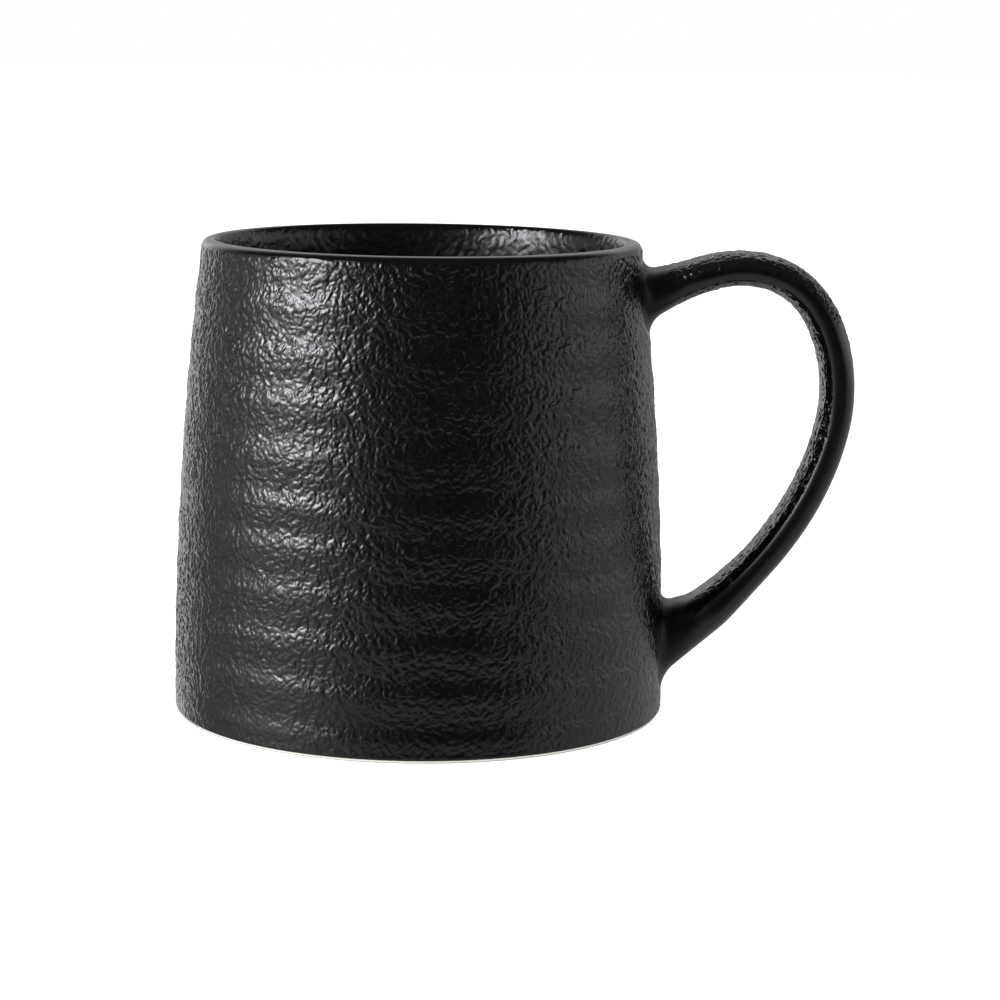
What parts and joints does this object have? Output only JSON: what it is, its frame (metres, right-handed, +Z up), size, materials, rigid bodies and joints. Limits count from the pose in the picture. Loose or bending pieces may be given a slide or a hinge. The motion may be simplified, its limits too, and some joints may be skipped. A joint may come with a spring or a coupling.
{
  "type": "ceramic mug",
  "caption": "Black glazed stoneware mug: tapered round body, wide base, looped strap handle, bare clay foot ring; holds a hot or cold drink.",
  "frame": {"origin": "centre of the whole mug's footprint box, on the plane it stands on; the cup's own axis is the vertical line at x = -0.01785, y = 0", "axes": "+X towards the handle, the mug's longest side; +Z up out of the mouth; the mug is mirror-symmetric about the plane y = 0"},
  "size_m": [0.1294, 0.0938, 0.09],
  "materials": {
    "bare_stoneware": "matt unglazed fired stoneware, pale cream, fine grain",
    "strap_stoneware": "matt fired stoneware under the glaze",
    "joining_slip": "fired slip, smoothed by finger into a fillet",
    "black_glaze": "satin black glaze over a leathery wrinkled relief with soft throwing rings",
    "liner_glaze": "satin black liner glaze, wrinkled relief",
    "handle_glaze": "satin black glaze, wrinkled on the outer and inner faces and smooth along both edges",
    "recess_glaze": "satin black glaze, nearly smooth"
  },
  "bodies": {
    "root": {"cup_body": "bare_stoneware", "handle": "strap_stoneware", "upper_handle_joint": "joining_slip", "lower_handle_joint": "joining_slip", "outer_glaze": "black_glaze", "inner_glaze": "liner_glaze", "handle_glaze": "handle_glaze", "foot_glaze": "recess_glaze"}
  },
  "joints": []
}
